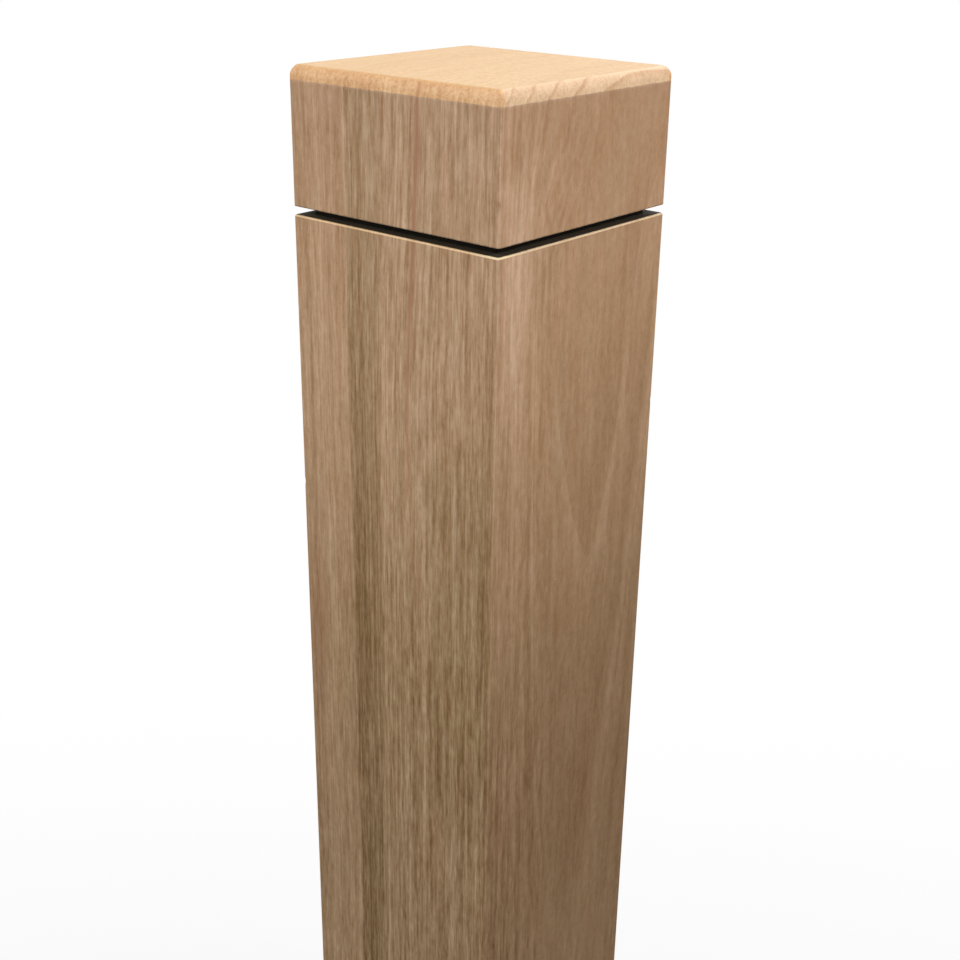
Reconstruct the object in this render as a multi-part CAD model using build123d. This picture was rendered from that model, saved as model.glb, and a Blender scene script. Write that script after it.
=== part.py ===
from build123d import *
import math
import os

# A square newel post, worked from one planed length of hardwood.
# Its head is set off from the shaft by a narrow sunk groove, run round all four faces,
# and the top edges of the head are rounded over.
# Millimetres and degrees. The origin is the centre of the foot, +Z runs up the post,
# and the four faces look along X and Y.

# Planed timber
POST_WIDTH = 90.0
POST_HEIGHT = 1100.0
ARRIS_RADIUS = 0.7
FOOT_EASE = 1.0

# Head, from the upper lip of the groove to the flat top
HEAD_HEIGHT = 46.5
TOP_ROUND_RADIUS = 4.6
TOP_ROUND_DROP = 3.7

# Groove between head and shaft
GROOVE_HEIGHT = 2.8
GROOVE_DEPTH = 5.0
LOWER_LIP_EASE = 0.6
UPPER_LIP_EASE = 0.25

# Heights and half width that follow from the sizes above
HALF_WIDTH = POST_WIDTH / 2
GROOVE_TOP = POST_HEIGHT - HEAD_HEIGHT
GROOVE_FLOOR = GROOVE_TOP - GROOVE_HEIGHT

# Each cutter reaches this far past the timber, so that no cut ends on its skin
CUTTER_CLEAR = 5.0
FACES = 4
QUARTER_TURN = 90


def section_on_face(outline):
    """Turns points of (distance in from the +X face, height) into an area in the plane of X and Z."""
    corners = [(HALF_WIDTH - inward, height) for inward, height in outline]
    return Plane.XZ * make_face(Polyline(*corners, close=True))


def pass_on_each_face(timber, section):
    """Runs one cutter straight across each of the four faces in turn."""
    cutter = extrude(section, HALF_WIDTH + CUTTER_CLEAR, both=True)
    for turn in range(FACES):
        timber -= cutter.rotate(Axis.Z, turn * QUARTER_TURN)
    return timber


def planed_timber():
    """The square length of timber, standing on its foot."""
    base = (Align.CENTER, Align.CENTER, Align.MIN)
    return Box(POST_WIDTH, POST_WIDTH, POST_HEIGHT, align=base)


def top_round_section():
    """What the rounding cutter takes off a top edge.

    The arc leaves the face without a step and meets the flat top at a crisp arris,
    because the cutter is set a little shallower than its own radius.
    """
    start = (HALF_WIDTH, POST_HEIGHT - TOP_ROUND_DROP)
    sweep = math.degrees(math.asin(TOP_ROUND_DROP / TOP_ROUND_RADIUS))
    centre = (HALF_WIDTH - TOP_ROUND_RADIUS, POST_HEIGHT - TOP_ROUND_DROP)
    arc = CenterArc(centre, TOP_ROUND_RADIUS, 0, sweep)
    end = arc @ 1
    outside = HALF_WIDTH + CUTTER_CLEAR
    above = POST_HEIGHT + CUTTER_CLEAR
    rim = Polyline(end, (end.X, above), (outside, above), (outside, start[1]), start)
    return Plane.XZ * make_face([arc, rim])


def groove_section():
    """The groove across one face, with both of its lips eased at 45 degrees."""
    lower_lip = GROOVE_FLOOR - LOWER_LIP_EASE
    upper_lip = GROOVE_TOP + UPPER_LIP_EASE
    return section_on_face([
        (GROOVE_DEPTH, GROOVE_FLOOR),
        (GROOVE_DEPTH, GROOVE_TOP),
        (UPPER_LIP_EASE, GROOVE_TOP),
        (0, upper_lip),
        (-CUTTER_CLEAR, upper_lip + CUTTER_CLEAR),
        (-CUTTER_CLEAR, lower_lip - CUTTER_CLEAR),
        (0, lower_lip),
        (LOWER_LIP_EASE, GROOVE_FLOOR),
    ])


def foot_section():
    """The small chamfer round the sawn foot."""
    return section_on_face([
        (FOOT_EASE + CUTTER_CLEAR, -CUTTER_CLEAR),
        (-CUTTER_CLEAR, FOOT_EASE + CUTTER_CLEAR),
        (-CUTTER_CLEAR, -CUTTER_CLEAR),
    ])


def corner_edges(timber):
    """The four long arrises and the four short hips where the rounded top edges meet."""
    def on_a_diagonal(edge):
        middle = edge.position_at(0.5)
        return abs(abs(middle.X) - abs(middle.Y)) < ARRIS_RADIUS / 10 and abs(middle.X) > HALF_WIDTH / 2
    return timber.edges().filter_by(on_a_diagonal)


def newel_post():
    """The whole post, cut in the order in which a joiner would cut it."""
    timber = pass_on_each_face(planed_timber(), top_round_section())
    timber = fillet(corner_edges(timber), ARRIS_RADIUS)
    timber = pass_on_each_face(timber, groove_section())
    return pass_on_each_face(timber, foot_section())


os.makedirs("parts", exist_ok=True)
post = newel_post()
export_step(post, "parts/newel_post.step")
print("newel post", post.bounding_box().size, "volume", round(post.volume), "mm3")
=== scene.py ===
# %% [markdown]
# # A square newel post
#
# A newel is the stout post that a stair's handrail ends on. This one is a single planed length of
# hardwood. A narrow black groove sets its head off from the shaft, and the top edges of the head
# are rounded over. The lesson builds the finished timber round the packed CAD solid, which fixes
# the sizes, and then makes the wood, the paint, the light and the camera.

# %% Load the packed model
import math
import random
from collections import namedtuple

import bmesh
import bpy
from mathutils import Matrix, Vector


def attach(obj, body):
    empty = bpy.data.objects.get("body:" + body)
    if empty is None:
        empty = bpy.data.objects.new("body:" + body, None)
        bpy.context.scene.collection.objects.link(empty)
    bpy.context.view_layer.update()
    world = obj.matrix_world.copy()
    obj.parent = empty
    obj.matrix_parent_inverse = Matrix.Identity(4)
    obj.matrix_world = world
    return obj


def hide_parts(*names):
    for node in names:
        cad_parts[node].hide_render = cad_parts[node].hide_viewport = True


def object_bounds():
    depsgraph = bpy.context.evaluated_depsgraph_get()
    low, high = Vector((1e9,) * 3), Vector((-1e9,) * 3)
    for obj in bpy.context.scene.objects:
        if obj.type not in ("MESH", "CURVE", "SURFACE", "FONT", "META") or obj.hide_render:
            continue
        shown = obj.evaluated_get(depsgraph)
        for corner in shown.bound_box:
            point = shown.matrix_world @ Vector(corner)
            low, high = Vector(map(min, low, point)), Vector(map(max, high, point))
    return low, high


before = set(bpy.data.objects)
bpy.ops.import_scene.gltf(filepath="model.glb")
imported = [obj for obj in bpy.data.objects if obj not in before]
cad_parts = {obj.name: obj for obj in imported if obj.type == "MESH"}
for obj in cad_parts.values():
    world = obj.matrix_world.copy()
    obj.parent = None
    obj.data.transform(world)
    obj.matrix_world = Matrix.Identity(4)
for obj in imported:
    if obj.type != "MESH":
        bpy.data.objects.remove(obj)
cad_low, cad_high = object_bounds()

print("CAD box from", tuple(cad_low), "to", tuple(cad_high))

# %% [markdown]
# ## The sizes
#
# The packed solid stands on the floor with its foot centred on the origin, so its box gives the
# width and the height. The rest is what a joiner would set on the tools: how deep the rounding
# cutter runs, where the groove is sawn and how much the sharp edges are eased. Blender counts in
# metres, and a helper lets the lesson speak of millimetres.

# %% Sizes that the joiner works to


def mm(length):
    """Millimetres as Blender's metres."""
    return length / 1000


HALF = cad_high.x
HEIGHT = cad_high.z

ARRIS_RADIUS = mm(0.7)
FOOT_EASE = mm(1.0)
ROUND_RADIUS = mm(4.6)
ROUND_DROP = mm(3.7)
TOP_ARRIS = mm(0.35)
HEAD_HEIGHT = mm(46.5)
GROOVE_HEIGHT = mm(2.8)
GROOVE_DEPTH = mm(5.0)
LOWER_LIP = mm(0.6)
UPPER_LIP = mm(0.25)

GROOVE_TOP = HEIGHT - HEAD_HEIGHT
GROOVE_FLOOR = GROOVE_TOP - GROOVE_HEIGHT
print("section", round(HALF * 2, 4), "m, height", round(HEIGHT, 4), "m")

# %% [markdown]
# ## Picking by place
#
# By hand, one clicks on the faces to be shaped. A script picks them by where they are and how they
# lie. Everything is deselected first, because an operator acts on all that is selected, and the
# loaded CAD solid starts out selected.

# %% Helpers for picking
NEAR = mm(0.02)
LEVEL_NORMAL = 0.99


def middle(part):
    """The middle of a face, an edge or a point."""
    if isinstance(part, bmesh.types.BMVert):
        return part.co
    if isinstance(part, bmesh.types.BMEdge):
        return (part.verts[0].co + part.verts[1].co) / 2
    return part.calc_center_median()


def pick(kind, wanted):
    """In edit mode, selects every face, edge or point that is wanted, and counts them."""
    bpy.ops.mesh.select_mode(type={"faces": "FACE", "edges": "EDGE", "points": "VERT"}[kind])
    bpy.ops.mesh.select_all(action="DESELECT")
    mesh = bpy.context.edit_object.data
    shape = bmesh.from_edit_mesh(mesh)
    parts = {"faces": shape.faces, "edges": shape.edges, "points": shape.verts}[kind]
    chosen = [part for part in parts if wanted(part)]
    for part in chosen:
        part.select_set(True)
    shape.select_flush_mode()
    bmesh.update_edit_mesh(mesh)
    return len(chosen)


def at_height(part, height):
    """True for a part that lies flat at this height."""
    points = [part] if isinstance(part, bmesh.types.BMVert) else part.verts
    return all(abs(point.co.z - height) < NEAR for point in points)


def bounds_a_side(edge):
    """True for an edge with a face beside it that isn't level."""
    return any(abs(face.normal.z) < LEVEL_NORMAL for face in edge.link_faces)


print("parts are picked by their place, to within", NEAR, "m")

# %% [markdown]
# ## The sawn length
#
# The post starts as a square stick, as it does in the workshop. The stick is a little short at
# both ends, because the eased foot and the rounded head are drawn out of it in the next steps.

# %% A square stick
bpy.ops.object.select_all(action="DESELECT")
stick_bottom = FOOT_EASE
stick_top = HEIGHT - ROUND_DROP
bpy.ops.mesh.primitive_cube_add(
    size=1,
    location=(0, 0, (stick_bottom + stick_top) / 2),
    scale=(2 * HALF, 2 * HALF, stick_top - stick_bottom),
)
post = bpy.context.object
post.name = "timber_post"
post.data.name = "timber_post"
bpy.ops.object.transform_apply(location=True, rotation=True, scale=True)
print("stick of", len(post.data.polygons), "faces")

# %% [markdown]
# ## Foot and head
#
# An end is shaped by extruding it a little and drawing it in, again and again. One step makes the
# eased edge of the foot. Nine steps follow the arc of the rounding cutter at the head. That cutter
# runs a little shallower than its own radius, so its arc meets the flat top at a clear edge. A
# bevel of the top edge would end flush with the top and lose that edge.

# %% Draw out the ends


def draw_end(from_height, from_half, to_height, to_half):
    """Extrudes the end at one height to another, and draws it in to a new half width."""
    pick("faces", lambda face: at_height(face, from_height))
    rise = to_height - from_height
    bpy.ops.mesh.extrude_region_move(TRANSFORM_OT_translate={"value": (0, 0, rise)})
    ratio = to_half / from_half
    bpy.ops.transform.resize(value=(ratio, ratio, 1), center_override=(0, 0, to_height))


bpy.ops.object.mode_set(mode="EDIT")
draw_end(stick_bottom, HALF, 0, HALF - FOOT_EASE)

ROUND_STEPS = 9
round_sweep = math.asin(ROUND_DROP / ROUND_RADIUS)
height, half = stick_top, HALF
for step in range(1, ROUND_STEPS + 1):
    turn = round_sweep * step / ROUND_STEPS
    next_half = HALF - ROUND_RADIUS * (1 - math.cos(turn))
    next_height = stick_top + ROUND_RADIUS * math.sin(turn)
    draw_end(height, half, next_height, next_half)
    height, half = next_height, next_half
print("flat top is", round(half * 2, 5), "m across at", round(height, 5), "m")

# %% [markdown]
# ## The long edges
#
# Planed timber has its four long edges taken off lightly, so that they don't splinter. A bevel of
# five segments rounds them, together with the short slanted edges at the head and the foot that
# they run into. The flat top then gets its own, smaller bevel.

# %% Round the long edges
CORNER_SEGMENTS = 5
TOP_SEGMENTS = 3


def on_a_corner(edge):
    """True for an edge that runs up one of the post's four corners."""
    in_the_corner = all(abs(abs(point.co.x) - abs(point.co.y)) < NEAR for point in edge.verts)
    rise = abs(edge.verts[0].co.z - edge.verts[1].co.z)
    return in_the_corner and rise > NEAR


found = pick("edges", on_a_corner)
bpy.ops.mesh.bevel(
    offset=ARRIS_RADIUS, offset_type="OFFSET", segments=CORNER_SEGMENTS, profile=0.5, affect="EDGES"
)
print("rounded", found, "corner edges")

found = pick("edges", lambda edge: at_height(edge, HEIGHT) and bounds_a_side(edge))
bpy.ops.mesh.bevel(
    offset=TOP_ARRIS, offset_type="OFFSET", segments=TOP_SEGMENTS, profile=0.5, affect="EDGES"
)
print("softened", found, "edges round the top")

# %% [markdown]
# ## The groove
#
# The real groove is sawn once across each face. In Blender, two cuts mark its edges, and the band
# between them is extruded and drawn in towards the middle. Cutting with four thin blocks would do
# the same and leave a less tidy mesh. A third cut, a little below the rounding, only parts the
# faces that will show fresh wood from the finished ones.

# %% Sink the groove
FRESH_WOOD_ENDS = HEIGHT - mm(5.5)


def cut_across(height):
    """Cuts every face that passes this height."""
    bpy.ops.mesh.select_all(action="SELECT")
    bpy.ops.mesh.bisect(plane_co=(0, 0, height), plane_no=(0, 0, 1))


for height in (GROOVE_FLOOR, GROOVE_TOP, FRESH_WOOD_ENDS):
    cut_across(height)

found = pick("faces", lambda face: GROOVE_FLOOR < middle(face).z < GROOVE_TOP)
bpy.ops.mesh.extrude_region()
neck = (HALF - GROOVE_DEPTH) / HALF
bpy.ops.transform.resize(value=(neck, neck, 1), center_override=(0, 0, GROOVE_FLOOR))
print("sank", found, "faces by", GROOVE_DEPTH, "m")

# %% [markdown]
# ## The lips of the groove
#
# The saw leaves two sharp lips, and a joiner eases both by hand. The lower one is eased more and
# shows as a pale line of fresh wood, while the upper one only loses its edge. Each is a bevel of two
# segments. The edges at a lip's height are picked where they lie on the outside of the post, which
# leaves out those of the neck.

# %% Ease the lips
LIP_SEGMENTS = 2


def on_the_outside(part):
    """True for a part on a face or a rounded corner of the post, and not on the neck."""
    place = middle(part)
    return max(abs(place.x), abs(place.y)) > HALF - ARRIS_RADIUS - NEAR


for lip_height, ease in ((GROOVE_FLOOR, LOWER_LIP), (GROOVE_TOP, UPPER_LIP)):
    found = pick(
        "edges",
        lambda edge: at_height(edge, lip_height) and on_the_outside(edge) and bounds_a_side(edge),
    )
    bpy.ops.mesh.bevel(
        offset=ease, offset_type="OFFSET", segments=LIP_SEGMENTS, profile=0.5, affect="EDGES"
    )
    print("eased", found, "lip edges by", ease, "m")

# %% [markdown]
# ## Small knocks
#
# A real corner is never perfect. Its edge takes small dents before the post is even fitted, and one
# shows at the front of the head. The others are drawn by chance from a fixed start, three to each
# corner, with their distance below the top and their depth in millimetres. For each dent, three cuts
# round the post give points at the corner, and the middle ones are pushed in. A dent painted on with
# a bump would not show in the outline.

# %% Dent the corners
FRONT_DENT = (1, -1, mm(33.5), mm(0.2))
DENT_ENDS = (mm(-2.0), mm(1.4))
DENTS_PER_CORNER = 3
DENT_SPACING = 330
FIRST_DENT = (90, 400)
DENT_DEPTHS = (0.12, 0.28)

knocks = [FRONT_DENT]
chance = random.Random(11)
for corner in ((1, -1), (-1, -1), (1, 1), (-1, 1)):
    for number in range(DENTS_PER_CORNER):
        nearest, farthest = (place + DENT_SPACING * number for place in FIRST_DENT)
        below_top = mm(chance.uniform(nearest, farthest))
        knocks.append((*corner, below_top, mm(chance.uniform(*DENT_DEPTHS))))


def dent(side_x, side_y, below_top, depth):
    """Pushes the edge of one corner in, at this distance below the top."""
    height = HEIGHT - below_top
    for rise in (DENT_ENDS[0], 0, DENT_ENDS[1]):
        cut_across(height + rise)

    def on_the_edge(point):
        reach = point.co.x * side_x + point.co.y * side_y
        return at_height(point, height) and reach > 2 * HALF - ARRIS_RADIUS - NEAR

    pick("points", on_the_edge)
    bpy.ops.transform.translate(value=(-side_x * depth, -side_y * depth, 0))


for knock in knocks:
    dent(*knock)
print("dented the corners in", len(knocks), "places")
bpy.ops.object.mode_set(mode="OBJECT")

# %% [markdown]
# ## Shader sums in plain Python
#
# A material works out its colour from small sums at every point. Wiring those sums by hand is
# slow to read, so one small class wraps a socket: adding or multiplying two of them adds the Math
# nodes. A second class holds the nodes of one material and adds every other node. A noise is
# described by how far it takes to change in each of three directions, how fine and how rough it
# gets, and how strong it is.

# %% Two small classes for materials
Noise = namedtuple("Noise", "steps detail roughness strength")


class Amount:
    """A number that a material works out at every point of the surface."""

    def __init__(self, recipe, socket):
        self.recipe = recipe
        self.socket = socket

    def __add__(self, other):
        return self.recipe.maths("ADD", self, other)

    def __sub__(self, other):
        return self.recipe.maths("SUBTRACT", self, other)

    def __rsub__(self, other):
        return self.recipe.maths("SUBTRACT", other, self)

    def __mul__(self, other):
        return self.recipe.maths("MULTIPLY", self, other)

    def __truediv__(self, other):
        return self.recipe.maths("DIVIDE", self, other)

    def __abs__(self):
        return self.recipe.maths("ABSOLUTE", self)

    __radd__ = __add__
    __rmul__ = __mul__


class Recipe:
    """The nodes of one material, or of the world."""

    def __init__(self, owner):
        owner.use_nodes = True
        self.tree = owner.node_tree
        self.tree.nodes.clear()

    def feed(self, socket, value):
        """Links a socket to an amount or another socket, or sets it to a constant."""
        if isinstance(value, Amount):
            value = value.socket
        if isinstance(value, bpy.types.NodeSocket):
            self.tree.links.new(value, socket)
        else:
            socket.default_value = value

    def node(self, kind, settings=None, sockets=None):
        """Adds a node, with its settings first and then what goes into its sockets."""
        made = self.tree.nodes.new("ShaderNode" + kind)
        for name, value in (settings or {}).items():
            if name == "stops":
                ramp = made.color_ramp
                while len(ramp.elements) < len(value):
                    ramp.elements.new(1.0)
                for stop, (position, colour) in zip(ramp.elements, value):
                    stop.position = position
                    stop.color = (*colour, 1)
            else:
                setattr(made, name, value)
        for name, value in (sockets or {}).items():
            self.feed(made.inputs[name], value)
        return made

    def maths(self, operation, *numbers):
        """A Math node on amounts and plain numbers."""
        made = self.node("Math", {"operation": operation}, dict(enumerate(numbers)))
        return Amount(self, made.outputs[0])

    def fade(self, amount, start, end):
        """0 up to start and 1 from end on, with a soft step between."""
        made = self.node(
            "MapRange",
            {"interpolation_type": "SMOOTHSTEP"},
            {"Value": amount, "From Min": start, "From Max": end},
        )
        return Amount(self, made.outputs["Result"])

    def levels(self, amount, first, *steps):
        """A first level, changed by soft steps that each have a start, an end and a change."""
        level = first
        for start, end, change in steps:
            level = self.fade(amount, start, end) * change + level
        return level

    def between(self, amount, low, high, soft):
        """1 between two values and 0 outside them, with soft steps."""
        return self.fade(amount, low - soft, low + soft) * self.fade(amount, high + soft, high - soft)

    def hump(self, amount, centre, width):
        """1 at the centre, falling softly to 0 on both sides over about twice the width."""
        off = (amount - centre) / width
        return self.maths("EXPONENT", off * off * -1)

    def noise(self, place, kind):
        """Soft random noise around 0, read at a place given as three amounts."""
        scaled = [amount / step for amount, step in zip(place, kind.steps)]
        spot = self.node("CombineXYZ", None, dict(enumerate(scaled)))
        look = {"Scale": 1.0, "Detail": kind.detail, "Roughness": kind.roughness}
        made = self.node(
            "TexNoise", {"noise_dimensions": "3D"}, {"Vector": spot.outputs[0], **look}
        )
        return (Amount(self, made.outputs[0]) * 2 - 1) * kind.strength

    def ramp(self, amount, stops):
        """A colour that follows the amount from 0 to 1."""
        made = self.node("ValToRGB", {"stops": stops}, {"Fac": amount})
        return made.outputs["Color"]

    def mix(self, share, first, second):
        """Two colours mixed, the second by its share."""
        made = self.node("Mix", {"data_type": "RGBA"}, {0: share, 6: first, 7: second})
        return made.outputs[2]


print("a recipe can", ", ".join(name for name in vars(Recipe) if not name.startswith("_")))

# %% [markdown]
# ## How the timber grew
#
# The pattern on planed wood is the tree's growth rings cut through by the faces. So the material
# doesn't paint stripes on each face. It works out, for a point anywhere in the solid post, how far
# it lies from the tree's heart, and every face then shows its own cut: near-straight lines on the
# two faces that look along Y, and a wide pointed arch on the two that look along X, where the cut
# runs nearly along the rings. The lines also meet at the corners by themselves.
#
# No tree is a perfect cylinder, and the arch is bent to its shape by a few small terms. A fold makes
# its tip pointed, a spread opens it lower down, and a slow swell moves it up and down the post. A
# lean tilts the lines in the middle of the left-hand face, and a little noise lets them all wander.
#
# All places in the materials are millimetres: X and Y from the middle of the post, and Z from its
# top, so that Z is negative. Rings are measured from the one that passes the front corner. A soft
# change is written as where it starts, where it ends and how large it is, and a soft spot as its
# middle and its width.

# %% Growth rings through the solid
FACE = round(HALF * 1000, 3)
FLAT_CUT_FACES = (FACE - 0.8, FACE - 0.1)
HEART_X, HEART_Y = 288.0, 38.0
TIP_Y = 7.0
TIP_ROUNDING = 12.0
FOLD = 0.035
INSIDE_FACE = (-FACE, -15)
SPREAD = 0, (-5, -60, 0.13)
SWELL, SWELL_LENGTH, SWELL_START = -4.4, 260, -150
HEAD_LIFT = 0, (-60, 0, 2.4)
ROUNDING_LIFT, ROUNDING_SPOT = 0.6, (-2.2, 1.8)
LEAN, LEAN_SPOT = (0, (0, -110, -5.0)), (6, 16)
WANDER = Noise((30, 30, 90), 1, 0.5, 0.5)

Spot = namedtuple("Spot", "x y z rings flat_cut")


def place_in_timber(r):
    """X, Y and the depth below the top, in millimetres."""
    place = r.node("TexCoord").outputs["Object"]
    in_mm = r.node("VectorMath", {"operation": "SCALE"}, {0: place, "Scale": 1000.0})
    parts = r.node("SeparateXYZ", None, {0: in_mm.outputs[0]})
    x, y, z = (Amount(r, parts.outputs[axis]) for axis in "XYZ")
    return x, y, z - HEIGHT * 1000


def arch(r, y, z, inside):
    """How far the rings are bent to draw the pointed arch, in millimetres."""
    off_tip = y - TIP_Y
    swell = r.maths("SINE", (z - SWELL_START) / SWELL_LENGTH) * SWELL + r.levels(z, *HEAD_LIFT)
    spread = off_tip * r.levels(z, *SPREAD)
    crease = r.maths("SQRT", off_tip * off_tip + TIP_ROUNDING) * FOLD
    crease_at_corner = math.sqrt((FACE + TIP_Y) ** 2 + TIP_ROUNDING) * FOLD
    over_rounding = r.hump(z, *ROUNDING_SPOT) * ROUNDING_LIFT
    return inside * (swell + spread) + crease - crease_at_corner + over_rounding


def ring_distance(r, x, y, z):
    """How far a point lies from the ring that passes the front corner, in millimetres."""
    across = HEART_X - x
    along = HEART_Y - y
    to_heart = r.maths("SQRT", across * across + along * along)
    from_corner = to_heart - math.hypot(HEART_X - FACE, HEART_Y + FACE)
    inside = r.fade(y, *INSIDE_FACE)
    lean = r.hump(x, *LEAN_SPOT) * r.levels(z, *LEAN) * (1 - inside)
    return from_corner + arch(r, y, z, inside) + lean + r.noise((x, y, z), WANDER)


def find_spot(r):
    """Everything that the wood's pattern depends on, at one point."""
    x, y, z = place_in_timber(r)
    flat_cut = r.fade(abs(x), *FLAT_CUT_FACES)
    return Spot(x, y, z, ring_distance(r, x, y, z), flat_cut)


print("the tree's heart lies", round(math.hypot(HEART_X, HEART_Y)), "mm from the post's middle")

# %% [markdown]
# ## Grain of every length
#
# Looked at closely, the lines in the wood are of every length: a few run the whole post, many stop
# after a hand's breadth, and the pores are dashes of some millimetres. Each length gets its own
# noise, stretched along the post and read across the rings. The faces that look along X are cut
# along the rings, so they show less of it the farther they are from the front corner. The outer
# edge of the left-hand face is calmer too, and the shaft is livelier lower down.

# %% The grain's noise
WHOLE_LENGTH = Noise((2.4, 60, 1200), 2.3, 0.85, 0.36)
HAND_LONG = Noise((2.0, 5, 75), 2.3, 0.85, 0.50)
DASHES = Noise((1.5, 2.5, 14), 2, 0.8, 0.58)
BROAD = Noise((7, 100, 400), 2, 0.7, 0.20)
ARCHED = Noise((1.3, 200, 900), 1, 0.5, 0.13)
MOTTLE = Noise((2.5, 2.5, 4), 3, 0.85, 0.25)
CALM_ON_FLAT_CUT = 0.3, (-44, 5, 0.4)
LIVELY_BY_RING = 1, (61, 64, -0.3)
LIVELY_BY_DEPTH = 0.88, (-30, -70, 0.12), (-130, -240, 0.3)


def figure(r, at):
    """All the grain together, around 0."""
    along_rings = (at.rings, at.y, at.z)
    lines = sum(r.noise(along_rings, kind) for kind in (WHOLE_LENGTH, HAND_LONG, DASHES, BROAD))
    lines = lines * (1 - at.flat_cut * r.levels(at.y, *CALM_ON_FLAT_CUT))
    lines = lines * r.levels(at.rings, *LIVELY_BY_RING) * r.levels(at.z, *LIVELY_BY_DEPTH)
    mottle = r.noise((at.x, at.y, at.z), MOTTLE)
    return lines + mottle + r.noise(along_rings, ARCHED) * at.flat_cut


print("grain lines of", [kind.steps[2] for kind in (WHOLE_LENGTH, HAND_LONG, DASHES)], "mm")

# %% [markdown]
# ## Bands on the left-hand face
#
# On the real post the left-hand face is not even from edge to edge. A darker olive band runs down
# it, with one sharp side and a thin light line beside that, and the wood turns duller towards the
# front corner lower down. All of it follows the growth rings, so it is tied to the ring distance
# and carries through the timber to the top and the back. The year rings themselves show faintly,
# each pale where the year's growth starts and dark where it ends.

# %% Darker rings and year rings
DARK_BAND, SOFT_SIDE, SHARP_SIDE = (47.0, 61.8), 2.0, 0.3
BAND_DEPTH = 0.09, (-20, -60, 0.05), (-110, -170, 0.10)
LIGHT_LINE = (62.6, 0.5)
BEYOND_BAND = (DARK_BAND[1] + 0.3, DARK_BAND[1] + 1.5)
LIGHTER_BELOW, LIGHTNESS = (-40, -100), 0.07
DULL_RINGS, DULL_HEIGHTS = (1.5, 23.5, 3.5), (-262, -120, 30)
MIDDLE_RINGS, MIDDLE_SPOT, MIDDLE_SHARE = (26, 46, 3), (-212, 42), 0.45
DULLNESS = 0.14
RING_WIDTH, FIRST_RING = 3.17, -0.48
PALE_START, DARK_END = (0.2, 0.02, 0.11), (0.85, 0.98, -0.08)
CLEARNESS, CLEARER_AND_FAINTER = 0.5, Noise((6, 1, 40), 1, 0.5, 0.8)


def ring_phase(r, rings):
    """Goes from 0, where a year's growth starts, to 1, where it ends."""
    return r.maths("FRACT", (rings - FIRST_RING) / RING_WIDTH)


def year_rings(r, at):
    """The pale start and the dark end of each year, clearer in some places than in others."""
    phase = ring_phase(r, at.rings)
    clear = r.noise((at.rings, 0.0, at.z), CLEARER_AND_FAINTER) + CLEARNESS
    return r.levels(phase, 0, PALE_START, DARK_END) * clear


def left_bands(r, at):
    """How much darker the bands are, and how olive."""
    start, end = DARK_BAND
    band = r.fade(at.rings, start - SOFT_SIDE, start + SOFT_SIDE)
    band = band * r.fade(at.rings, end + SHARP_SIDE, end - SHARP_SIDE)
    dull = r.between(at.rings, *DULL_RINGS) * r.between(at.z, *DULL_HEIGHTS)
    dull_middle = r.between(at.rings, *MIDDLE_RINGS) * r.hump(at.z, *MIDDLE_SPOT)
    dull = dull + dull_middle * MIDDLE_SHARE
    return band * r.levels(at.z, *BAND_DEPTH) + dull * DULLNESS, band + dull


def light_edge(r, at):
    """The light line beside the dark band, and the lighter wood beyond it."""
    beyond = r.fade(at.rings, *BEYOND_BAND) * r.fade(at.z, *LIGHTER_BELOW)
    return (r.hump(at.rings, *LIGHT_LINE) + beyond) * LIGHTNESS


print("dark band", round(DARK_BAND[1] - DARK_BAND[0], 1), "mm wide, year rings", RING_WIDTH, "mm")

# %% [markdown]
# ## Marks on the right-hand face
#
# The right-hand face is cut nearly along the rings and is calmer. Near the front corner it has a
# pale patch, and farther down two pale lines and two dark ones meet in a long pointed V, which are
# single rings. A broken dark streak slants across the head and on below the groove, and two tiny
# nicks have lost their finish. The streak and the nicks belong to the surface and not to the rings,
# so they are placed by Y and Z. The whole face is also a little darker towards its far edge.

# %% The pointed V, the streak and the nicks
V_LINES = ((-13.0, 0.28, 0.10), (-10.4, 0.35, 0.06), (-13.7, 0.3, -0.05), (-11.3, 0.35, -0.04))
V_STARTS, V_CLEARNESS = (-50, -100), (0.6, (-5, 12, 0.4))
PALE_PATCH, PALE_PATCH_STARTS, PALE_PATCH_LIGHT = (-4.8, 5.8, -62.0, 44.0), (-14, -34), 0.31
PINK_STREAK, PINK_STREAK_LIGHT = (-2.4, 1.2, -185.0, 50.0), 0.08
SLANT_STREAK, SLANT_HEIGHTS, SLANT_DARK = (0.4, 0.48, -12.0, 0.9), (-58, -8, 4), 0.13
LINE_SHOWS, STREAK_BREAKS = 0.6, Noise((2, 2, 2), 2, 0.8, 0.9)
NICKS, NICK_SIZE, NICK_LIGHT = ((-0.6, -99.0), (-9.6, -171.0)), 0.45, 0.25
DARKER_ACROSS = 0, (-15, 25, 0.055)
DARKER_LOW = 0, (-235, -265, 0.04)
LIGHTER_SPOT, LIGHTER = (-155, 50), 0.065
FAR_EDGE, FAR_LOW, FAR_DARK = (28, 38), (-180, -230), 0.045


def patch(r, at, place):
    """1 in the middle of a long patch, from its ring and depth and its half widths in both."""
    ring, ring_reach, depth, depth_reach = place
    return r.hump(at.rings, ring, ring_reach) * r.hump(at.z, depth, depth_reach)


def pointed_v(r, at):
    """The four rings that show as a long V."""
    lines = sum(r.hump(at.rings, ring, width) * strength for ring, width, strength in V_LINES)
    return lines * at.flat_cut * r.fade(at.z, *V_STARTS) * r.levels(at.y, *V_CLEARNESS)


def pale_patches(r, at):
    """Paler wood beside the front corner."""
    pale = patch(r, at, PALE_PATCH) * r.fade(at.z, *PALE_PATCH_STARTS) * at.flat_cut
    return pale * PALE_PATCH_LIGHT + patch(r, at, PINK_STREAK) * PINK_STREAK_LIGHT


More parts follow.
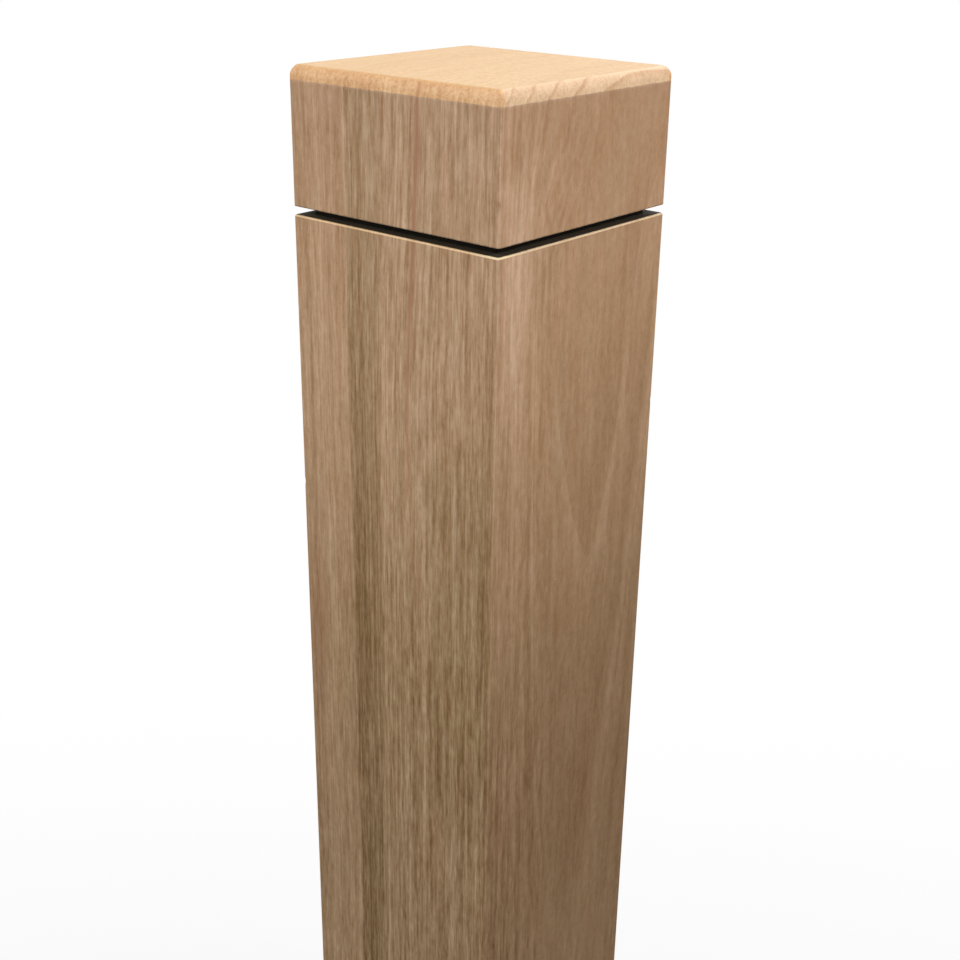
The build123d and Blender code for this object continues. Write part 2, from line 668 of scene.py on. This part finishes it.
def streak_and_nicks(r, at):
    """The broken dark streak that slants across the front, and two pale nicks."""
    start_y, slope, start_z, width = SLANT_STREAK
    across = at.y - (at.z - start_z) * slope
    broken = r.noise((at.x, at.y, at.z), STREAK_BREAKS) + LINE_SHOWS
    streak = r.hump(across, start_y, width) * broken * r.between(at.z, *SLANT_HEIGHTS)
    nicks = sum(r.hump(at.y, y, NICK_SIZE) * r.hump(at.z, z, NICK_SIZE) for y, z in NICKS)
    return (nicks * NICK_LIGHT - streak * SLANT_DARK) * r.fade(at.x, *FLAT_CUT_FACES)


def far_side(r, at):
    """How much darker the face is towards its far edge and low down."""
    darker = r.levels(at.y, *DARKER_ACROSS) + r.levels(at.z, *DARKER_LOW)
    far_and_low = r.fade(at.y, *FAR_EDGE) * r.fade(at.z, *FAR_LOW) * FAR_DARK
    return (darker + far_and_low - r.hump(at.z, *LIGHTER_SPOT) * LIGHTER) * at.flat_cut


print("the V has", len(V_LINES), "lines and the face", len(NICKS), "nicks")

# %% [markdown]
# ## Along the sharp edges
#
# Finish runs thin on a sharp edge, which shows as a fine, broken light line, partly that wear and
# partly a painted highlight. It is clearest at the front of the head, above the dent. The left-hand
# face gets painted shade right beside the front corner, so that the corner stays clear although both
# faces are lit alike.

# %% The worn edges, their painted highlight and the painted shade beside them
WORN_AND_HIGHLIGHT_EDGE = (2 * FACE - 0.58, 2 * FACE - 0.45)
WEAR_AND_HIGHLIGHT, WEAR_AND_HIGHLIGHT_BREAKS = (0.18, (-34, -32.5, 0.20)), Noise((1.5, 1.5, 2.5), 3, 0.8, 1.2)
# Painted shade on the left-hand face beside the front corner, on the shaft and on the head.
PAINTED_SHADE_BY_RING, PAINTED_SHADE_HEIGHTS = (9, 2), (-190, -62, 12)
PAINTED_HEAD_SHADE_BY_RING, PAINTED_HEAD_SHADE_STARTS = (4, 1.5), (-52, -44)
PAINTED_CORNER_SHADE = 0.09
MIDDLE_TONE = 0.5


def edge_wear_highlight_and_shade(r, at):
    """Worn finish and a painted highlight along the rounded corners, and painted shade left of the
    front one.
    """
    edge = r.fade(abs(at.x) + abs(at.y), *WORN_AND_HIGHLIGHT_EDGE)
    broken = r.noise((at.x, at.y, at.z), WEAR_AND_HIGHLIGHT_BREAKS) + LINE_SHOWS
    # The light line: worn finish and a painted highlight, broken by noise.
    worn_and_highlit = edge * broken * r.levels(at.z, *WEAR_AND_HIGHLIGHT)
    on_shaft = r.fade(at.rings, *PAINTED_SHADE_BY_RING) * r.between(at.z, *PAINTED_SHADE_HEIGHTS)
    on_head = r.fade(at.rings, *PAINTED_HEAD_SHADE_BY_RING) * r.fade(at.z, *PAINTED_HEAD_SHADE_STARTS)
    # Painted shade beside the front corner, kept off the faces cut along the rings and off the edge
    # itself.
    painted_shade = (on_shaft + on_head) * (1 - at.flat_cut) * (1 - edge)
    return worn_and_highlit - painted_shade * PAINTED_CORNER_SHADE


def timber_tone(r, at, all_grain):
    """How light the wood is, from 0 to 1, and how olive it is."""
    darker, olive = left_bands(r, at)
    lighter = light_edge(r, at) + pale_patches(r, at) + year_rings(r, at) + pointed_v(r, at)
    # The edge marks bring the painted highlight and the painted shade into the tone.
    marks = streak_and_nicks(r, at) + edge_wear_highlight_and_shade(r, at)
    return all_grain + MIDDLE_TONE + marks + lighter - darker - far_side(r, at), olive


# How far in the light line reaches, which is worn finish and a painted highlight.
worn_and_highlit_reach = (2 * FACE - WORN_AND_HIGHLIGHT_EDGE[0]) / math.sqrt(2)
print("the finish is worn within", round(worn_and_highlit_reach, 2), "mm of where the sharp edge would be")

# %% [markdown]
# ## The colour of the finish
#
# The sides have a grey-brown finish. The tone picks the colour from a ramp of a few browns, in
# which the darker ones are also the redder ones. A second, pinker ramp serves the faces cut along
# the rings and is mixed in cloudily everywhere. A reddish streak and a reddish patch follow the
# rings, and a soft blush lies near the far edge. At the end, red and blue are multiplied by factors
# close to 1: the dark bands are more olive, and the wood loses a little blue lower down.

# %% Grey-brown, pink and red
GREY_BROWNS = (
    (0.0, (0.188, 0.104, 0.042)),
    (0.3, (0.298, 0.179, 0.089)),
    (0.5, (0.372, 0.238, 0.132)),
    (0.7, (0.448, 0.302, 0.180)),
    (1.0, (0.572, 0.406, 0.264)),
)
PINK_BROWNS = (
    (0.0, (0.208, 0.100, 0.038)),
    (0.3, (0.326, 0.174, 0.082)),
    (0.5, (0.403, 0.231, 0.120)),
    (0.7, (0.486, 0.293, 0.168)),
    (1.0, (0.620, 0.394, 0.252)),
)
RED_BROWN, MOST_RED = (0.30, 0.15, 0.08, 1), 0.6
RED_STREAK, RED_STREAK_LENGTH, RED_STREAK_SHARE = (31.4, 0.9), (-160, -60), 1.35
BLUSH_ACROSS, BLUSH_DOWN, BLUSH_SHARE = (31, 3), (-75, 28), 0.35
RED_PATCH, RED_PATCH_SHARE = (82.0, 5.0, -207.0, 50.0), 0.6
PINK_STREAK_SHARE = 0.4
WARM_CLOUDS = Noise((4, 8, 50), 4, 0.85, 0.85)
PINK_SHARE, PINK_ON_FLAT_CUT = 0.15, 0.65
RED_BY_RING = 1, (62, 64, 0.02)
OLIVE_LOSS, FLAT_CUT_LOSS = 0.04, 0.015
BLUE_AT_TOP, BLUE_LOSS, BLUE_STARTS, BLUE_REACH = 1.05, 0.11, -60, 190


def red_share(r, at):
    """How red the wood is, from 0 to 1, in the streaks and the patch."""
    streak = r.hump(at.rings, *RED_STREAK) * r.fade(at.z, *RED_STREAK_LENGTH) * RED_STREAK_SHARE
    blush = r.hump(at.y, *BLUSH_ACROSS) * r.hump(at.z, *BLUSH_DOWN) * BLUSH_SHARE
    patches = patch(r, at, RED_PATCH) * RED_PATCH_SHARE
    return streak + blush + patches + patch(r, at, PINK_STREAK) * PINK_STREAK_SHARE


def finished_colour(r, at, tone, olive):
    """Grey-brown on the faces cut across the rings, a little pinker on those cut along them."""
    warmth = r.noise((at.rings, at.y, at.z), WARM_CLOUDS)
    pink_share = at.flat_cut * PINK_ON_FLAT_CUT + warmth + PINK_SHARE
    browns = r.mix(pink_share, r.ramp(tone, GREY_BROWNS), r.ramp(tone, PINK_BROWNS))
    colour = r.mix(red_share(r, at) * MOST_RED, browns, RED_BROWN)
    red = r.levels(at.rings, *RED_BY_RING) - at.flat_cut * FLAT_CUT_LOSS
    red = red - r.maths("MINIMUM", olive, 1) * OLIVE_LOSS
    blue = BLUE_AT_TOP - r.maths("MINIMUM", (BLUE_STARTS - at.z) / BLUE_REACH, 1) * BLUE_LOSS
    factors = r.node("CombineXYZ", None, {0: red, 1: 1.0, 2: blue})
    tinted = r.node("VectorMath", {"operation": "MULTIPLY"}, {0: colour, 1: factors.outputs[0]})
    return tinted.outputs[0]


print("middle brown", GREY_BROWNS[2][1], "and its pinker partner", PINK_BROWNS[2][1])

# %% [markdown]
# ## The finished sides
#
# The finish is satin and sinks into the wood. The darker pores are a little rougher than the wood
# between them, and a very low bump lets the light catch the grain. The brush that blackened the
# groove also left a thin dark smudge along its upper lip, with a ragged border.

# %% Material of the finished sides
SMUDGE, SMUDGE_SPOT, SMUDGE_SHARE = (0.04, 0.033, 0.025, 1), (-46.45, 0.28), 0.7
SMUDGE_RAGS = Noise((1.5, 1.5, 1.5), 3, 0.8, 0.5)
GRAIN_BUMP = (0.35, mm(0.15))
SATIN_ROUGHNESS, SMOOTHER_WHERE_PALE = 0.63, 0.1
SATIN_GLOSS = 0.1


def principled(r, colour, roughness, gloss, bump_height, bump):
    """Ends a recipe in one Principled shader with a bump of a strength and a distance."""
    strength, distance = bump
    raised = r.node(
        "Bump", None, {"Strength": strength, "Distance": distance, "Height": bump_height}
    )
    shader = r.node(
        "BsdfPrincipled",
        None,
        {
            "Base Color": colour,
            "Roughness": roughness,
            "Specular IOR Level": gloss,
            "Normal": raised.outputs[0],
        },
    )
    r.node("OutputMaterial", None, {"Surface": shader.outputs[0]})


def finished_sides():
    """Grey-brown satin finish on the planed faces."""
    material = bpy.data.materials.new("finished_wood")
    r = Recipe(material)
    at = find_spot(r)
    tone, olive = timber_tone(r, at, figure(r, at))
    colour = finished_colour(r, at, tone, olive)
    ragged = r.noise((at.x, at.y, at.z), SMUDGE_RAGS)
    colour = r.mix(r.hump(at.z + ragged, *SMUDGE_SPOT) * SMUDGE_SHARE, colour, SMUDGE)
    roughness = SATIN_ROUGHNESS - tone * SMOOTHER_WHERE_PALE
    principled(r, colour, roughness, SATIN_GLOSS, tone, GRAIN_BUMP)
    return material


side_finish = finished_sides()
print("made", side_finish.name, "of", len(side_finish.node_tree.nodes), "nodes")

# %% [markdown]
# ## The fresh wood
#
# The head was finished first and then rounded over and planed on top, so its top and its rounded
# edges show fresh, unfinished wood, like the lower lip of the groove. It is the same timber, so it
# takes the same tone, through a ramp of paler and yellower browns. The top is the most even. The
# rounded edges are speckled, because the cutter tore the fibres a little. Those along X get a warmer,
# darker colour as painted shade, and those along Y a paler one as painted sheen. On those along Y the
# year rings also show as slanting lines.

# %% Colour of the fresh wood
FRESH_BROWNS = (
    (0.0, (0.34, 0.179, 0.072)),
    (0.3, (0.48, 0.286, 0.134)),
    (0.5, (0.56, 0.363, 0.184)),
    (0.7, (0.64, 0.438, 0.240)),
    (1.0, (0.75, 0.54, 0.32)),
)
FRESH_MIDDLE = 0.51
# Painted shade for the rounded edges along X, and painted sheen for those along Y.
PAINTED_SHADE_ON_X_EDGES, PAINTED_SHADE_ON_X_EDGES_SHARE = (0.60, 0.255, 0.065, 1), 0.35
PAINTED_SHEEN_ON_Y_EDGES, PAINTED_SHEEN_ON_Y_EDGES_SHARE = (0.72, 0.47, 0.30, 1), 0.4
FRESH_RED, FRESH_RED_SHARE = (0.45, 0.21, 0.075, 1), (0.08, 0.8)
RING_LINE, RING_LINE_SHARE = (0.42, 0.20, 0.07, 1), (0.1, 0.7)
LINE_RISES, LINE_FALLS = (0.72, 0.93), (1.0, 0.95)
LINE_BREAKS = Noise((1.5, 1.5, 1.5), 2, 0.8, 0.6)
TOP_ENDS, LOW_ON_ROUNDING = (-0.2, -1.0), (-1.5, -4.5)
CONTRAST, EDGE_CONTRAST, LOW_CONTRAST = 0.4, 0.3, 0.45
SPECKS, CLOUDS = Noise((1.1, 1.1, 1.1), 3, 0.9, 1), Noise((9, 9, 9), 3, 0.7, 0.6)
DARK_CLOUD, DARK_CLOUD_DEPTH = (-22, 7), 0.2
ROUNDING_STARTS = (FACE - 2.0, FACE - 1.6)


def edge_runs(r, at):
    """1 on the rounded edges that run along X, and 1 on those along Y."""
    along_x = r.fade(abs(at.y), *ROUNDING_STARTS)
    along_y = r.fade(abs(at.x), *ROUNDING_STARTS) * (1 - along_x)
    return along_x, along_y


def fresh_colour(r, at, tone):
    """The colour of the unfinished top and rounded edges."""
    place = (at.x, at.y, at.z)
    off_top = r.fade(at.z, *TOP_ENDS)
    contrast = off_top * EDGE_CONTRAST + r.fade(at.z, *LOW_ON_ROUNDING) * LOW_CONTRAST + CONTRAST
    clouds = r.noise(place, CLOUDS) - r.hump(at.x, *DARK_CLOUD) * DARK_CLOUD_DEPTH
    uneven = (r.noise(place, SPECKS) + clouds) * off_top
    fresh_tone = (tone - MIDDLE_TONE) * contrast + uneven + FRESH_MIDDLE
    along_x, along_y = edge_runs(r, at)
    colour = r.ramp(fresh_tone, FRESH_BROWNS)
    # Painted shade: a warmer, darker colour on the rounded edges along X.
    colour = r.mix(along_x * PAINTED_SHADE_ON_X_EDGES_SHARE, colour, PAINTED_SHADE_ON_X_EDGES)
    # Painted sheen: a paler colour on the rounded edges along Y.
    colour = r.mix(along_y * PAINTED_SHEEN_ON_Y_EDGES_SHARE, colour, PAINTED_SHEEN_ON_Y_EDGES)
    on_top, on_edge = FRESH_RED_SHARE
    colour = r.mix(red_share(r, at) * (off_top * on_edge + on_top), colour, FRESH_RED)
    phase = ring_phase(r, at.rings)
    broken = r.noise(place, LINE_BREAKS) + LINE_SHOWS
    line = r.fade(phase, *LINE_RISES) * r.fade(phase, *LINE_FALLS) * broken
    on_top, on_edge = RING_LINE_SHARE
    return r.mix(line * (along_y * on_edge + on_top), colour, RING_LINE)


print("rounded edges start", round(ROUNDING_STARTS[0], 1), "mm from the middle")

# %% [markdown]
# ## Where the finish ends
#
# The finish ends in a ragged border just below the rounding. The material draws it, a little above
# the cut in the mesh, because a border drawn along mesh edges would be ruler-straight. The lower
# lip of the groove is the palest, as bare eased wood, and paler still near the front corner as a
# painted highlight.

# %% Fresh wood, its border and the lip
FINISH_BORDER, BORDER_RAGS = (-4.7, -5.1), Noise((5, 5, 5), 5, 0.9, 0.5)
HEAD_ONLY = (-20, -10)
LIP_WOOD, LIP_ONLY = (0.82, 0.64, 0.38, 1), (-20, -30)
# Where the painted highlight on the lip gathers, and how much bare wood and highlight show.
FRONT_CORNER, LIP_WOOD_AND_HIGHLIGHT_SHARE = (76, 89), (0.35, 0.6)
FRESH_ROUGHNESS, SMOOTHER_GRAIN, FINISH_ROUGHER = 0.6, 0.1, 0.3
FRESH_GLOSS = 0.75


def fresh_wood():
    """Unfinished wood on the rounded edges, the top and the lower lip."""
    material = bpy.data.materials.new("bare_wood")
    r = Recipe(material)
    at = find_spot(r)
    all_grain = figure(r, at)
    tone, olive = timber_tone(r, at, all_grain)
    everywhere, highlight_at_front = LIP_WOOD_AND_HIGHLIGHT_SHARE
    at_front = r.fade(at.x - at.y, *FRONT_CORNER)
    # Pale bare wood on the lip, with a painted highlight near the front corner.
    lip = r.fade(at.z, *LIP_ONLY) * (at_front * highlight_at_front + everywhere)
    fresh = r.mix(lip, fresh_colour(r, at, tone), LIP_WOOD)
    ragged = r.noise((at.x, at.y, at.z), BORDER_RAGS)
    covered = r.fade(at.z + ragged, *FINISH_BORDER) * r.fade(at.z, *HEAD_ONLY)
    colour = r.mix(covered, fresh, finished_colour(r, at, tone, olive))
    roughness = FRESH_ROUGHNESS - all_grain * SMOOTHER_GRAIN + covered * FINISH_ROUGHER
    principled(r, colour, roughness, FRESH_GLOSS, all_grain, GRAIN_BUMP)
    return material


fresh_finish = fresh_wood()
print("made", fresh_finish.name, "of", len(fresh_finish.node_tree.nodes), "nodes")

# %% [markdown]
# ## The black groove
#
# The groove is painted matt black. A flat black would look like a hole in the picture, so the paint
# is blotched. Its ledge, which faces up, is a little greyer: painted light.

# %% Material of the paint
PAINT_BLACKS = ((0.1, (0.005, 0.0035, 0.002)), (0.9, (0.052, 0.041, 0.026)))
BLOTS, BLOT_SHADE, BLOT_ROUGHNESS = Noise((3, 3, 3), 3, 0.6, 1), 0.25, 0.05
PAINTED_LIGHT_ON_LEDGE = 0.25, (-49.2, -49.28, 0.5)
PAINT_ROUGHNESS, PAINT_GLOSS = 0.8, 0.12
PAINT_BUMP = (0.3, mm(0.1))


def groove_paint():
    """Matt black paint in the groove."""
    material = bpy.data.materials.new("black_paint")
    r = Recipe(material)
    x, y, z = place_in_timber(r)
    blots = r.noise((x, y, z), BLOTS)
    # The ledge, which faces up, takes a greyer black: painted light.
    colour = r.ramp(blots * BLOT_SHADE + r.levels(z, *PAINTED_LIGHT_ON_LEDGE), PAINT_BLACKS)
    roughness = PAINT_ROUGHNESS + blots * BLOT_ROUGHNESS
    principled(r, colour, roughness, PAINT_GLOSS, blots, PAINT_BUMP)
    return material


paint = groove_paint()
print("made", paint.name, "of", len(paint.node_tree.nodes), "nodes")

# %% [markdown]
# ## Which face gets which finish
#
# Each face of the mesh takes one of the three materials by its height. The cuts made for the groove
# and below the rounding are there so that no face needs two.

# %% Give each face its finish
for material in (side_finish, fresh_finish, paint):
    post.data.materials.append(material)
SIDES, FRESH, BLACK = range(3)
lip_bottom = GROOVE_FLOOR - LOWER_LIP
for face in post.data.polygons:
    height = face.center.z
    if height > FRESH_WOOD_ENDS:
        face.material_index = FRESH
    elif GROOVE_FLOOR - NEAR < height < GROOVE_TOP + NEAR:
        face.material_index = BLACK
    elif lip_bottom < height < GROOVE_FLOOR:
        face.material_index = FRESH
    else:
        face.material_index = SIDES
counts = [[face.material_index for face in post.data.polygons].count(index) for index in range(3)]
print("faces by finish:", counts)

# %% [markdown]
# ## Shade the flats flat and the rounds round
#
# Smooth shading blends the small faces of a rounded edge into one curve. Left alone, it would also
# bend the light over the large flat faces beside them. Weighted normals let the large faces win,
# and edges sharper than the angle stay crisp.

# %% Smooth the rounded edges
SMOOTH_ANGLE = math.radians(32)
bpy.ops.object.select_all(action="DESELECT")
post.select_set(True)
bpy.context.view_layer.objects.active = post
bpy.ops.object.shade_smooth_by_angle(angle=SMOOTH_ANGLE)
weigh = post.modifiers.new("weigh", "WEIGHTED_NORMAL")
weigh.keep_sharp = True
bpy.ops.object.modifier_apply(modifier=weigh.name)
print("post has", len(post.data.polygons), "faces")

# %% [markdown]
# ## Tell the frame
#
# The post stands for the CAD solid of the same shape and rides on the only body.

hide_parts("newel_post")
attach(post, "root")
print(post.name, "stands for the solid")

# %% [markdown]
# ## The floor
#
# A plain white studio. The floor is a pale, matt sheet that keeps the shadow near the post. For the
# camera and for reflections it shades into pure white farther out, so that no edge of it shows.
# That white is only seen: it sends no light to the post.

# %% A floor that fades into white
FLOOR_REACH = 40.0
FLOOR_GREY = (0.85, 0.85, 0.85, 1)
WHITE = (1, 1, 1, 1)
WHITE_AT_POST = 0.7
WHITENING = (0.35, 1.6)


def seen_directly(r):
    """1 for what the camera or a shiny surface sees, 0 for what lights the post."""
    rays = r.node("LightPath")
    camera_ray, glossy_ray = (rays.outputs[name] for name in ("Is Camera Ray", "Is Glossy Ray"))
    return r.maths("MAXIMUM", camera_ray, glossy_ray)


bpy.ops.object.select_all(action="DESELECT")
bpy.ops.mesh.primitive_plane_add(size=2 * FLOOR_REACH, location=(0, 0, 0))
floor = bpy.context.object
floor.name = "studio_floor"
floor_white = bpy.data.materials.new("floor_white")
r = Recipe(floor_white)
place = r.node("SeparateXYZ", None, {0: r.node("TexCoord").outputs["Object"]})
floor_x, floor_y = (Amount(r, place.outputs[axis]) for axis in "XY")
away = r.maths("SQRT", floor_x * floor_x + floor_y * floor_y)
whiter = WHITE_AT_POST + r.fade(away, *WHITENING) * (1 - WHITE_AT_POST)
pale = r.node("BsdfDiffuse", None, {"Color": FLOOR_GREY})
white = r.node("Emission", None, {"Color": WHITE, "Strength": 1.0})
both = r.node(
    "MixShader", None, {0: seen_directly(r) * whiter, 1: pale.outputs[0], 2: white.outputs[0]}
)
r.node("OutputMaterial", None, {"Surface": both.outputs[0]})
floor.data.materials.append(floor_white)
print("floor reaches", FLOOR_REACH, "m and is white from", WHITENING[1], "m on")

# %% [markdown]
# ## The world
#
# Everything round the post is white to the camera, at a strength of 1. What it sends to the post is
# only a quarter of that, as a soft fill, so that the lamps can shape the wood.

# %% A white world with a weak light
FILL = 0.25
world = bpy.data.worlds.new("studio")
bpy.context.scene.world = world
r = Recipe(world)
strength = seen_directly(r) * (1 - FILL) + FILL
glow = r.node("Background", None, {"Color": WHITE, "Strength": strength})
r.node("OutputWorld", None, {"Surface": glow.outputs[0]})
print("fill light at", FILL)

# %% [markdown]
# ## The lamps
#
# Each front face has a wide, soft lamp of its own. It stands 18 degrees past the straight look on
# that face, away from the front corner: a lamp between the two faces would draw a bright line down
# the rounded corner, and the real post shows none. A lamp overhead lights the top, one to the side
# glances over it as a window would, and one behind keeps the rear faces from going dark.

# %% Place the soft lamps
PAST_STRAIGHT = 18
LEFT_SIDE = -90 - PAST_STRAIGHT
RIGHT_SIDE = PAST_STRAIGHT
SIDE_DISTANCE, SIDE_HEIGHT = 2.4, 1.7
SHAFT_MIDDLE = (0, 0, 0.6)
HEAD = (0, 0, HEIGHT)


def around(azimuth, distance, height):
    """A place at this angle round the post, measured from +X, and this far from its middle."""
    turn = math.radians(azimuth)
    return distance * math.cos(turn), distance * math.sin(turn), height


def stand(name, lamp, place, direction):
    """Puts a lamp in the scene, looking in a direction and unseen by the camera."""
    holder = bpy.data.objects.new(name, lamp)
    bpy.context.scene.collection.objects.link(holder)
    holder.location = place
    holder.rotation_euler = direction.to_track_quat("-Z", "Y").to_euler()
    holder.visible_camera = False


def soft_lamp(name, place, aim, size, watts):
    """A soft rectangular lamp of a width and a height that looks at a point."""
    lamp = bpy.data.lights.new(name, "AREA")
    lamp.shape = "RECTANGLE"
    lamp.size, lamp.size_y = size
    lamp.energy = watts
    stand(name, lamp, place, Vector(aim) - Vector(place))


left_place = around(LEFT_SIDE, SIDE_DISTANCE, SIDE_HEIGHT)
right_place = around(RIGHT_SIDE, SIDE_DISTANCE, SIDE_HEIGHT)
window_place = around(azimuth=98, distance=2.0, height=HEIGHT + 1.0)
soft_lamp("left", left_place, SHAFT_MIDDLE, size=(1.2, 1.2), watts=15.6)
soft_lamp("right", right_place, SHAFT_MIDDLE, size=(1.2, 1.2), watts=8.1)
soft_lamp("overhead", (0.1, -0.1, HEIGHT + 1.4), HEAD, size=(0.9, 0.9), watts=6)
soft_lamp("window", window_place, HEAD, size=(1.0, 1.0), watts=22)
soft_lamp("back", (-1.6, 1.7, 0.65), (0, 0, 0.55), size=(1.2, 0.6), watts=20)
print("side lamps at", LEFT_SIDE, "and", RIGHT_SIDE, "degrees")

# %% [markdown]
# ## Pools of light on the head
#
# The post is brightest at its head and darkens softly down the shaft. Two spots, one for each front
# face and at the same angles as the wide lamps, look at the head from above. Their wide, blended
# edges make the fall-off. Darkening the wood in its material instead would be wrong in other light.

# %% Place the pools
POOL_DISTANCE = 1.4
POOL_RISE = 0.8
POOL_DOWN = math.radians(17)
POOL_SOFTNESS = 0.08


def pool_of_light(name, azimuth, watts, half_angle, blend):
    """A spot that lights the head from one side and fades out down the shaft."""
    lamp = bpy.data.lights.new(name, "SPOT")
    lamp.energy = watts
    lamp.spot_size = 2 * math.radians(half_angle)
    lamp.spot_blend = blend
    lamp.shadow_soft_size = POOL_SOFTNESS
    towards_post = -Vector(around(azimuth, 1, math.tan(POOL_DOWN)))
    stand(name, lamp, around(azimuth, POOL_DISTANCE, HEIGHT + POOL_RISE), towards_post)


pool_of_light("left_pool", LEFT_SIDE, watts=56, half_angle=21.5, blend=0.43)
pool_of_light("right_pool", RIGHT_SIDE, watts=73, half_angle=21.3, blend=0.57)
print("pools", POOL_DISTANCE, "m away and", POOL_RISE, "m above the head")

# %% [markdown]
# ## The camera
#
# The camera stands a little above the head and looks down on it, half a metre away, turned so that
# the post's front corner faces it. It is rolled by less than a degree, as the photograph is.

# %% Place the camera
CAMERA_PLACE = (mm(307.3), mm(-366.5), HEIGHT + mm(53.8))
CAMERA_YAW = math.radians(39.85)
CAMERA_PITCH = math.radians(22.95)
CAMERA_ROLL = math.radians(0.85)
SENSOR_WIDTH, FOCAL_LENGTH = 36.0, 52.5
NEAREST_SEEN = 0.01

ahead = Vector((
    -math.sin(CAMERA_YAW) * math.cos(CAMERA_PITCH),
    math.cos(CAMERA_YAW) * math.cos(CAMERA_PITCH),
    -math.sin(CAMERA_PITCH),
))
level_right = Vector((math.cos(CAMERA_YAW), math.sin(CAMERA_YAW), 0))
level_up = level_right.cross(ahead)
right = level_right * math.cos(CAMERA_ROLL) + level_up * math.sin(CAMERA_ROLL)
up = level_up * math.cos(CAMERA_ROLL) - level_right * math.sin(CAMERA_ROLL)
turned = Matrix((right, up, -ahead)).transposed().to_4x4()

lens = bpy.data.cameras.new("camera")
lens.sensor_width = SENSOR_WIDTH
lens.lens = FOCAL_LENGTH
lens.clip_start = NEAREST_SEEN
camera = bpy.data.objects.new("camera", lens)
bpy.context.scene.collection.objects.link(camera)
camera.matrix_world = Matrix.Translation(CAMERA_PLACE) @ turned
bpy.context.scene.camera = camera
bpy.context.scene.view_settings.view_transform = "Standard"
print("camera", round(math.hypot(*CAMERA_PLACE[:2]), 3), "m from the post's middle line")

# %% [markdown]
# ## The box to fill
#
# The dressed post must fill the same box as the CAD solid.
